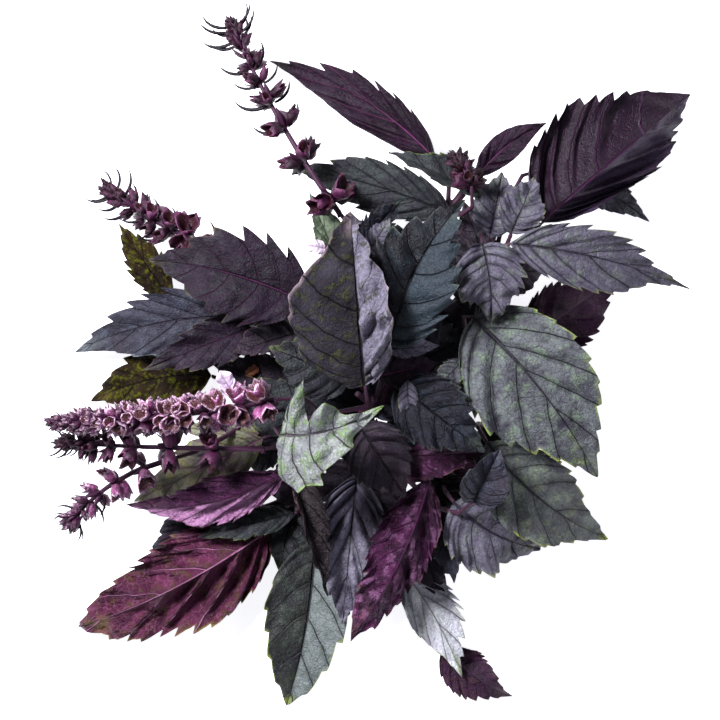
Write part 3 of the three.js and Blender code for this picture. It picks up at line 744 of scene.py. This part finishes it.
def made_spine(base, tip, width, bow, roll=0.0):
    """A blade's spine without a solid: one arch from base to tip, as high as bow, rolled about its own
    line by roll degrees, with the half width w/2 sin(pi t^0.76)^0.9 at share t of its length and both
    halves folded up by a fifth."""
    base, tip = np.array(base) + MIDDLE, np.array(tip) + MIDDLE
    t = STATIONS[:, None]
    rib = base + (tip - base) * t + UP * bow * 4 * t * (1 - t)
    along = unit(np.gradient(rib, STATIONS, axis=0))
    flat = unit(np.cross(along, UP))
    turn = np.radians(roll)
    side = flat * np.cos(turn) + np.cross(flat, along) * np.sin(turn)
    normal = np.cross(side, along)
    half = 0.5 * width * np.sin(np.pi * t**0.76) ** 0.9 + 0.6
    return {"rib": rib, "normal": normal, "right": rib + half * (side + 0.2 * normal),
            "left": rib + half * (0.2 * normal - side), "base": base, "tip": tip}


# %% Inner leaves: base, tip, width, bow, roll and finish
INNER = [
    ([-15, -22, 14], [-48, -2, 17], 20, 4, 10, "bottle"),
    ([-20, -22, 13], [-44, -16, 14], 17, 2, -15, "dusk"),
    ([-28, -22, 14], [-40, 4, 15], 15, 2, 10, "slate"),
    ([-26, -20, 12], [-49, -34, 12], 17, 2, 20, "bottle"),
    ([-16, -38, 10], [-36, -40, 12], 20, 3, -10, "dusk"),
    ([-24, -44, 9], [-30, -70, 8], 17, 3, 10, "bottle"),
    ([-10, -46, 9], [-12, -66, 12], 18, 3, 0, "dusk"),
    ([4, -38, 8], [8, -58, 12], 16, 3, 10, "dusk"),
    ([2, -28, 14], [-12, -14, 20], 18, 3, 0, "slate"),
    ([4, -16, 26], [14, 4, 26], 18, 3, 0, "slate"),
    ([8, -18, 24], [18, -36, 22], 16, 2, 0, "night"),
    ([36, 8, 28], [22, 26, 28], 22, 3, 0, "dusk"),
    ([37, 4, 26], [30, -14, 22], 18, 3, 0, "lavender"),
    ([45, 20, 26], [33, 46, 34], 22, 3, 0, "dusk"),
    ([24, 48, 28], [30, 30, 30], 18, 2, 0, "night"),
    ([20, 30, 25], [-4, 52, 28], 20, 4, 0, "night"),
    ([19, 22, 23], [-12, 30, 24], 20, 3, 0, "dusk"),
    ([38, -22, 18], [62, -42, 14], 18, 3, 0, "bottle"),
    ([45, 34, 34], [62, 34, 30], 16, 2, 0, "dusk"),
    ([-18, -10, 17], [-55, 4, 17], 18, 3, 0, "dusk"),
    ([6, -13, 23], [-21, -9, 21], 14, 2, 0, "night"),
    ([0, -33, 14], [-17, -46, 12], 15, 2, 0, "dusk"),
    ([14, -2, 28], [9, 13, 28], 11, 1, 0, "dusk"),
    ([24, -36, 14], [34, -51, 12], 13, 2, 0, "dusk"),
    ([41, 39, 32], [34, 58, 32], 13, 2, 0, "dusk"),
    ([-52, -47, 9], [-76, -66, 3], 14, 2, 0, "slate"),
    ([-37, -22, 18], [-65, -20, 15], 9, 1, 0, "drab"),
    ([19, -57, 13], [27, -83, 8], 11, 2, 0, "dusk"),
    ([7.5, 7, 44], [25.5, 8.5, 43], 6, 2, 15, "lavender"),
    ([5, -2, 41], [25, 2.5, 42], 13, 2, 0, "aubergine"),
    ([14.5, -4, 46], [15, -19, 43], 6, 2, 0, "ash"),
    ([33, 3, 44], [24, -7, 44], 8, 2, 0, "veined"),
    ([2, 41, 48], [8.5, 52, 52], 7.5, 2, 20, "ash"),
]
for number, (base, tip, width, bow, roll, finish) in enumerate(INNER, 1):
    chance = np.random.default_rng(300 + number)
    spine = made_spine(base, tip, width, bow, roll)
    shape = dict(teeth=6, bite=0.14, wave=0.12, pleat=0.12)
    skins = [FINISHES[finish], FINISHES["plum"]]
    piece = leaf_piece(f"inner_leaf_{number}", spine, shape, skins, chance)
    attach(piece, "root")
print(f"{len(INNER)} inner leaves")

# %% [markdown]
# Two petals and a dry scrap of leaf lie among the leaves. A petal is so thin that it is nearly white.

# %% Petals and a scrap: base, tip, width and finish
PETAL = leaf_skin("Petal, pale lilac", "#e8d6e8", "#d6bcda", "#f2e8f4", "#d6bcda", "#f4ecf6",
                  net=0.0, relief=0.3)
SCRAP = leaf_skin("Dry leaf, orange-brown", "#8a5034", "#6a3a28", "#a87850", "#5a3020", "#b89068",
                  relief=1.5)
FALLEN = {
    "petal_1": ([-45, -8, 51], [-49.5, 0, 55], 5, PETAL),
    "petal_2": ([-14, 42, 30], [-20, 43, 31], 4, PETAL),
    "dry_scrap": ([-41, -1.5, 20], [-37, 1, 21], 2, SCRAP),
}
for number, (name, (base, tip, width, skin)) in enumerate(FALLEN.items()):
    chance = np.random.default_rng(400 + number)
    spine = made_spine(base, tip, width, 1.0)
    shape = dict(teeth=3, bite=0.0, wave=0.2, belly=0.2, point=-0.6)
    piece = leaf_piece(name, spine, shape, [skin, skin], chance)
    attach(piece, "root")
print(f"{len(FALLEN)} fallen pieces")

# %% [markdown]
# ## Stems
# Basil stems are square with rounded corners, and the stalks grow out of them in soft forks. Filling each
# stem's solid with small cells and smoothing it rounds its corners and its forks alike.

# %% Stem skin
VOXEL = 0.45 * MM  # size of the cells that fill a stem
DOWN = 0.4 * MM  # the short hairs of stems, bracts and calyces


def stem_skin(name, bark, streak, shine):
    """Herb stem: green flesh under purple skin, in slow patches of two colours, with a short down."""
    material, tree = new_material(name)
    here = add(tree, "TexCoord").outputs["Object"]
    patches = add(tree, "TexNoise", {"Vector": here, "Scale": 1 / (6 * MM), "Detail": 4.0})
    colour = layered(tree, linear(bark), [(patches, 1.0, streak)])
    down = add(tree, "TexNoise", {"Vector": here, "Scale": 1 / DOWN, "Detail": 3.0})
    bump = add(tree, "Bump", {"Strength": 0.8, "Distance": 0.15 * MM, "Height": down})
    shader = add(tree, "BsdfPrincipled", {
        "Base Color": colour, "Roughness": 0.5, "Specular IOR Level": shine, "Normal": bump,
    })
    add(tree, "OutputMaterial", {"Surface": shader})
    return material


STEM = stem_skin("Herb stem, purple", "#2e1228", "#422636", 0.3)
for name in stems:
    stem = nodes[name]
    stem.data.materials.clear()
    stem.data.materials.append(STEM)
    weld = stem.modifiers.new("Joined", "WELD")
    weld.merge_threshold = 0.001 * MM
    cells = stem.modifiers.new("Cells", "REMESH")
    cells.mode = "VOXEL"
    cells.voxel_size = VOXEL
    cells.use_smooth_shade = True
    soft = stem.modifiers.new("Rounded", "SMOOTH")
    soft.factor = 0.5
    soft.iterations = 6
print(f"{len(stems)} stems")

# %% [markdown]
# ## Flower spikes
# Each whorl carries six calyces: small cups with a broad upper lip and pointed teeth below, which the
# petals have left. They stand out from the axis low on the spike and close up against it towards its tip,
# where they are still buds. Under each whorl stand bracts, and the longest of them dry into dark claws.


# %% Calyx skin
def calyx_skin(name, body, pale, inside, rim):
    """Calyx: a papery leaf, purple outside and brown within, with a thin rim that dries pale. The UV map's
    first number runs from the foot over the rim, at its middle, to the bottom of the cup; the second is
    one number for each calyx, which makes some paler than others. The pale rim colour, also laid on the
    hairs, is partly a painted highlight of the glossy rims."""
    material, tree = new_material(name)
    place = add(tree, "TexCoord")
    here = place.outputs["Object"]
    uv = add(tree, "SeparateXYZ", {0: place.outputs["UV"]})
    patches = add(tree, "TexNoise", {"Vector": here, "Scale": 1 / (2.2 * MM), "Detail": 3.0})
    share = add(tree, "Math", {0: patches, 1: uv.outputs[1]}, operation="MULTIPLY")
    paler = add(tree, "MapRange", {"Value": share, "From Min": 0.18, "From Max": 0.5})
    within = add(tree, "MapRange", {"Value": uv.outputs[0], "From Min": 0.53, "From Max": 0.62})
    from_rim = add(tree, "Math", {0: uv.outputs[0], 1: 0.5}, operation="SUBTRACT")
    beside = add(tree, "Math", {0: from_rim}, operation="ABSOLUTE")
    # The rim colour on the rim and on the hairs: a rim that dries pale, and partly a painted highlight.
    at_rim = add(tree, "MapRange", {"Value": beside, "From Max": 0.1, "To Min": 1.0, "To Max": 0.0})
    spots = add(tree, "TexNoise", {"Vector": here, "Scale": 1 / (0.8 * MM), "Detail": 2.0})
    broken = add(tree, "MapRange", {"Value": spots, "From Min": 0.38, "From Max": 0.6})
    strength = add(tree, "MapRange", {"Value": uv.outputs[1], "From Max": 0.6, "To Min": 0.15})
    rim_dry_and_highlit = add(tree, "Math", {0: broken, 1: strength}, operation="MULTIPLY")
    down = add(tree, "TexNoise", {"Vector": here, "Scale": 1 / DOWN, "Detail": 3.0})
    hairs = add(tree, "MapRange", {"Value": down, "From Min": 0.56, "From Max": 0.72, "To Max": 0.42})
    colour = layered(tree, linear(body), [(paler, 1.0, pale), (within, 1.0, inside), (at_rim, rim_dry_and_highlit, rim),
                                          (hairs, strength, rim)])
    bump = add(tree, "Bump", {"Strength": 1.0, "Distance": 0.25 * MM, "Height": down})
    shader = add(tree, "BsdfPrincipled", {
        "Base Color": colour, "Roughness": 0.42, "Specular IOR Level": 0.28, "IOR": 1.45, "Normal": bump,
    })
    add(tree, "OutputMaterial", {"Surface": shader})
    return material


CALYX = {
    "dark": calyx_skin("Calyx, dark purple", "#1c0614", "#501e42", "#280a12", "#784064"),
    "maroon": calyx_skin("Calyx, maroon", "#1a0610", "#3c1830", "#22090e", "#4a2038"),
    "pink": calyx_skin("Calyx, purple with a pale rim and a painted highlight", "#300a26", "#924a7a", "#42201f", "#f2d0e6"),
}
BRACT = stem_skin("Bract, purple", "#240a1c", "#42203a", 0.25)
CLAW = stem_skin("Bract, dried and dark", "#060407", "#120a13", 0.2)

# %% Shapes of a calyx and a bract
# Radius and height of each ring, in millimetres, for an open cup and for a closed bud.
CUP = np.array([[0.45, 0], [1.7, 1.0], [2.25, 2.6], [2.8, 4.6], [2.1, 3.9], [1.2, 2.3], [0.2, 1.7]])
BUD = np.array([[0.4, 0], [1.2, 0.9], [1.35, 2.4], [0.5, 4.6], [0.4, 4.2], [0.3, 3.6], [0.1, 3.2]])
# How far the rim stands out, side by side, and how much of that each ring takes.
LIP = np.array([1.5, 1.1, -0.7, 0.9, -0.4, 0.9, -0.4, 0.9, -0.7, 1.1])
AT_RIM = np.array([0, 0, 0.15, 1, 0.75, 0, 0])


def calyx_points(openness):
    """Calyces about 5 mm long, along +X with the broad lip towards +Z: profiles of radii and heights
    turned about that axis, between bud and cup by openness. Returns (calyces, rings, sides, 3)."""
    profile = BUD + (CUP - BUD) * openness[:, None, None]
    angle = 2 * np.pi * np.arange(len(LIP)) / len(LIP)
    radius, height = profile[..., 0, None], profile[..., 1, None]
    stands_out = AT_RIM[:, None] * LIP
    radius = radius + 0.35 * np.clip(stands_out, 0, None) * openness[:, None, None]
    return np.stack([height + stands_out, radius * np.sin(angle), radius * np.cos(angle)], -1)


def bract_points(length, width, bend, flat=0.3):
    """A bract: a tapering blade that leaves along +X and bends round towards +Z by bend radians. Its width
    lies across the bend, or in it when flat is more than 1; flat is the thickness beside the width."""
    t = np.linspace(0, 1, 8)
    turn = bend * t**1.3
    path = np.cumsum(np.stack([np.cos(turn), np.sin(turn)], 1), 0) * length / len(t)
    taper = width * (np.sin(np.pi * (0.12 + 0.88 * t) ** 0.7) ** 0.8 * 0.5 + 0.03)
    around = np.array([[1, 0], [0, flat], [-1, 0], [0, -flat]])
    side, thick = taper[:, None] * around[:, 0], taper[:, None] * around[:, 1]
    x = path[:, :1] - thick * np.sin(turn)[:, None]
    return np.stack([x, side, path[:, 1:] + thick * np.cos(turn)[:, None]], -1)


# %% Placing them on a spike
SPIKE_SIDES = 12  # of the solid
CLOSEST = 1.6  # from one whorl to the next, in millimetres
LAST = 1.2  # from the last whorl to the tip


def whorls_of(name, style):
    """The axis of a spike from base to tip, and its whorls: their places, ways along the axis and sizes.
    Each whorl stands nearer the tip than the one below it by a fixed share, or by as much as the closest
    two."""
    rings, base, tip = rings_of(name, SPIKE_SIDES)
    axis = np.vstack([base, rings.mean(1), tip])
    axis = base + (axis - base) * style["reach"]
    axis = axis + np.linspace(0, 1, len(axis))[:, None] * style.get("drift", 0.0)
    steps = np.append(0, np.cumsum(np.linalg.norm(np.diff(axis, axis=0), axis=1)))
    left = style["first"] * steps[-1]
    places = []
    while left > LAST:
        places.append(steps[-1] - left)
        left -= max(left * (1 - style["step"]), CLOSEST)
    places = np.array(places)
    middle = smooth_through(steps, axis, places)
    ahead = smooth_through(steps, axis, places + 0.5)
    size = style["size"] * (1 - places / steps[-1]) ** style["taper"]
    return axis, middle, unit(ahead - middle), size


def placed(shape, centre, forward, up, size):
    """Copies of a shape: its +X goes forward and its +Z up, scaled by size. Up need not be square to
    forward. The shape may be one for all copies or one for each."""
    up = unit(up - forward * (up * forward).sum(-1, keepdims=True))
    side = np.cross(up, forward)
    axes = [axis[:, None, None] for axis in (forward, side, up)]
    turned = sum(shape[..., k, None] * axis for k, axis in enumerate(axes))
    return centre[:, None, None] + turned * size[:, None, None, None]


def tubes_mesh(tubes):
    """Points of closed tubes, (tubes, rings, sides, 3), and their faces: walls, first caps and last
    caps."""
    number, rings, sides = tubes.shape[:3]
    offset = np.arange(number)[:, None, None] * rings * sides
    walls = (grid_faces(rings, sides, around=True) + offset).reshape(-1, 4)
    first = np.arange(sides)[::-1] + offset[:, 0]
    last = (rings - 1) * sides + np.arange(sides) + offset[:, 0]
    return tubes.reshape(-1, 3), [walls, first, last]


def joined(parts):
    """Several (tubes, material number, uv) as the points, faces, face materials and UV map of one mesh."""
    points, blocks, which, uvs = [], [], [], []
    shift = 0
    for tubes, material, uv in parts:
        part_points, part_blocks = tubes_mesh(tubes)
        points.append(part_points)
        blocks += [block + shift for block in part_blocks]
        which.append(np.repeat(material, sum(len(block) for block in part_blocks)))
        uvs.append(np.broadcast_to(uv, (len(part_points), 2)))
        shift += len(part_points)
    return np.concatenate(points), blocks, np.concatenate(which), np.concatenate(uvs)


# %% Parts of a spike
WHORL = 6  # calyces in a whorl
LEAN = (8, 66)  # of the calyces towards the tip, at the lowest whorl and at the last, in degrees
LEAN_SPREAD = 24
ROD_SIDES = 8
ROD_RADII = (1.05, 0.5)  # at its foot and at its tip
NO_UV = (0, 0)


def ways_out(along, chance):
    """The level way out of each whorl, and the six ways of its calyces: evenly round the axis, but for one
    random turn of the whorl and a smaller one of each calyx."""
    level = unit(np.cross(along, UP))
    upright = np.cross(level, along)
    turn = 2 * np.pi / WHORL * np.arange(WHORL) + chance.uniform(-0.5, 0.5, (len(along), 1))
    turn = (turn + chance.normal(0, 0.12, turn.shape))[..., None]
    return level, level[:, None] * np.cos(turn) + upright[:, None] * np.sin(turn)


def calyces_of(style, middle, along, size, share, out, chance):
    """The calyces of a spike and their UV map. share is 0 at its lowest whorl and 1 at its last. Each
    calyx has a lean, size, place, opening and dents of its own."""
    each = out.shape[:2]
    total = WHORL * len(middle)
    lean = LEAN[0] + (LEAN[1] - LEAN[0]) * share[:, None] ** 1.3
    lean = np.radians(lean + chance.uniform(-LEAN_SPREAD, LEAN_SPREAD, each))[..., None]
    aside = np.cross(along[:, None], out) * chance.uniform(-0.6, 0.6, (*each, 1))
    forward = unit(out * np.cos(lean) + along[:, None] * np.sin(lean) + aside).reshape(-1, 3)
    lips = (along[:, None] * np.cos(lean) - out * np.sin(lean)).reshape(-1, 3)
    sizes = (size[:, None] * chance.uniform(0.78, 1.18, each)).ravel()
    start = middle[:, None] + out * 0.9 * size[:, None, None]
    start = (start + along[:, None] * chance.uniform(-1, 1, (*each, 1))).reshape(-1, 3)
    opening = style["open"] - 1.1 * share[:, None] ** style["bloom"] + chance.normal(0, 0.15, each)
    kept = chance.uniform(0, 1, total) < style["kept"]
    shapes = calyx_points(np.clip(opening, 0, 1).ravel())[kept]
    shapes = shapes + chance.normal(0, 0.17, shapes.shape)
    paleness = chance.uniform(0.1, 1.1, total) * (1.0 - 0.85 * np.repeat(share, WHORL))
    calyces = placed(shapes, start[kept], forward[kept], lips[kept], sizes[kept])
    ring = np.broadcast_to(np.linspace(0, 1, len(CUP))[:, None], calyces.shape[:3])
    own = np.broadcast_to(paleness[kept][:, None, None], calyces.shape[:3])
    return calyces, np.stack([ring.ravel(), own.ravel()], 1)


def bracts_of(middle, along, size, share, out, chance):
    """Short bracts all round each whorl, just below it."""
    way = out + along[:, None] * (0.3 + 1.6 * share[:, None, None]) + chance.normal(0, 0.25, out.shape)
    sizes = np.repeat(size, WHORL) * chance.uniform(0.6, 1.15, WHORL * len(middle))
    start, up = (np.repeat(rows, WHORL, 0) for rows in (middle - along * 1.2, along))
    return placed(bract_points(6.5, 1.9, 0.5), start, unit(way).reshape(-1, 3), up, sizes)


def claws_of(style, middle, along, share, level, chance):
    """Long dry bracts, level with the table, one on either side of some whorls."""
    chosen = (share >= style["claws_from"]) & (chance.uniform(0, 1, len(share)) < style["clawed"])
    at = np.tile(np.flatnonzero(chosen), 2)
    sides = np.repeat([1.0, -1.0], len(at) // 2)[:, None]
    way = unit(level[at] * sides + along[at] * 0.15 + chance.normal(0, 0.2, (len(at), 3)))
    sizes = style["claws"] / 10 * chance.uniform(0.75, 1.2, len(at))
    return placed(bract_points(12.5, 0.5, 1.3, 2.3), middle[at] - along[at], way, along[at], sizes)


def rod_of(axis):
    """The axis of a spike as a round rod, drawn back at its foot to meet its stalk."""
    way = unit(np.gradient(axis, axis=0))
    axis[0] -= way[0] * 1.6
    flat = unit(np.cross(way, [0.3, 0.2, 1.0]))
    third = np.cross(way, flat)
    angle = (2 * np.pi * np.arange(ROD_SIDES) / ROD_SIDES)[:, None]
    radius = np.linspace(*ROD_RADII, len(axis))[:, None, None]
    return (axis[:, None] + radius * (flat[:, None] * np.cos(angle) + third[:, None] * np.sin(angle)))[None]


def spike_parts(name, style, chance):
    """Everything on a spike as one mesh: its calyces, bracts, claws and axis."""
    axis, middle, along, size = whorls_of(name, style)
    share = np.linspace(0, 1, len(middle))
    level, out = ways_out(along, chance)
    calyces, uv = calyces_of(style, middle, along, size, share, out, chance)
    bracts = bracts_of(middle, along, size, share, out, chance)
    claws = claws_of(style, middle, along, share, level, chance)
    return joined([(calyces, 0, uv), (bracts, 1, NO_UV), (claws, 2, NO_UV), (rod_of(axis), 1, NO_UV)])


# %% [markdown]
# Each spike has its calyx finish and numbers of its own. *reach* is its length beside its solid's and
# *drift* how far its tip is moved, in millimetres. *first* is how far from the tip its lowest whorl
# stands, *step* how much nearer each next whorl comes, *size* the size of its calyces and *taper* how fast
# they shrink. *open* is how wide the lowest calyces are, *bloom* how late they close, and *kept* the share
# of them left. *claws* is the size of its claws, 10 for 12.5 mm, *claws_from* where they begin, as a share
# of the spike, and *clawed* the share of whorls with them.

# %% Every spike
SPIKES = {
    "sprig_4_flower_spike_1": ("pink", dict(reach=0.97, first=0.95, step=0.895, size=1.25, taper=0.22,
        bloom=1.6, open=1.0, kept=0.92, claws=4, claws_from=0.6, clawed=0.3)),
    "sprig_4_flower_spike_2": ("dark", dict(reach=1.02, drift=(0.0, 3.2, 0.0), first=0.76, step=0.7,
        size=1.6, taper=0.25, bloom=1.0, open=0.6, kept=0.8, claws=7, claws_from=0.5, clawed=0.9)),
    "sprig_4_flower_spike_3": ("pink", dict(reach=0.93, first=0.8, step=0.7, size=1.25, taper=0.15,
        bloom=0.9, open=0.7, kept=0.62, claws=7, claws_from=0.2, clawed=0.6)),
    "sprig_5_flower_spike_1": ("dark", dict(reach=0.95, drift=(-0.3, 2.8, 0.0), first=0.93, step=0.8,
        size=1.42, taper=0.26, bloom=0.9, open=0.8, kept=0.8, claws=9, claws_from=0.1, clawed=0.75)),
    "sprig_6_flower_spike_1": ("dark", dict(reach=0.99, first=0.94, step=0.765, size=1.65, taper=0.3,
        bloom=0.8, open=0.55, kept=0.8, claws=10, claws_from=0.0, clawed=0.65)),
    "sprig_6_flower_spike_2": ("maroon", dict(reach=0.8, drift=(-1.6, -1.0, 0.0), first=0.9, step=0.8,
        size=0.85, taper=0.1, bloom=0.3, open=0.6, kept=1.0, claws=4, claws_from=0.0, clawed=0.8)),
}
for number, name in enumerate(spikes):
    finish, style = SPIKES[name]
    chance = np.random.default_rng(500 + number)
    points, blocks, which, uv = spike_parts(name, style, chance)
    piece = new_piece("skin_" + name, points, blocks, [CALYX[finish], BRACT, CLAW], which, uv)
    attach(piece, "root")
    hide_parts(name)
    print(f"{name}: {len(piece.data.polygons)} faces")

# %% [markdown]
# ## Table, light and camera
# The bunch lies on a white sheet that is lit from behind, under a large soft window. The camera looks
# straight down from two metres with a long lens, so that nothing is drawn larger for being nearer.

# %% Table
TABLE = 6000.0  # its width in millimetres
white, tree = new_material("White paper")
paper = add(tree, "BsdfPrincipled", {
    "Base Color": linear("#f2f2f4"), "Roughness": 0.9,
    "Emission Color": linear("#fbfbff"), "Emission Strength": 0.88,
})
add(tree, "OutputMaterial", {"Surface": paper})
corners = np.array([[-1, -1, 0], [1, -1, 0], [1, 1, 0], [-1, 1, 0]]) * TABLE / 2
floor = new_piece("table", corners, [np.array([[0, 1, 2, 3]])], [white])

# %% Light
world = bpy.data.worlds.new("Room")
world.use_nodes = True
world.node_tree.nodes["Background"].inputs["Color"].default_value = linear("#eef2fa")
world.node_tree.nodes["Background"].inputs["Strength"].default_value = 0.2
bpy.context.scene.world = world


def window(name, place, size, power, colour):
    """A square soft light at a place in millimetres, facing the bunch. Power is in watts."""
    lamp = bpy.data.lights.new(name, "AREA")
    lamp.size = size * MM
    lamp.energy = power
    lamp.color = linear(colour)[:3]
    lamp_object = bpy.data.objects.new(name, lamp)
    where = np.array(place, float) * MM
    lamp_object.location = where
    back = where / np.linalg.norm(where)
    lamp_object.rotation_euler = (np.arccos(back[2]), 0, np.arctan2(back[0], -back[1]))
    bpy.context.scene.collection.objects.link(lamp_object)


window("Window", (-540, 420, 850), 320, 32.5, "#f7f5ff")
window("Fill", (700, -300, 800), 600, 2.4, "#e6e4ff")
bpy.context.scene.view_settings.view_transform = "Standard"

# %% Camera
CAMERA_PLACE = np.array([-3.35, 0.53, 2000.0])
FIELD_OF_VIEW = 252.0  # width of table that the picture spans
SENSOR = 36.0
lens = bpy.data.cameras.new("Long lens")
lens.sensor_width = SENSOR
lens.lens = SENSOR * CAMERA_PLACE[2] / FIELD_OF_VIEW
lens.clip_end = 10
camera = bpy.data.objects.new("Camera", lens)
camera.location = CAMERA_PLACE * MM
bpy.context.scene.collection.objects.link(camera)
bpy.context.scene.camera = camera
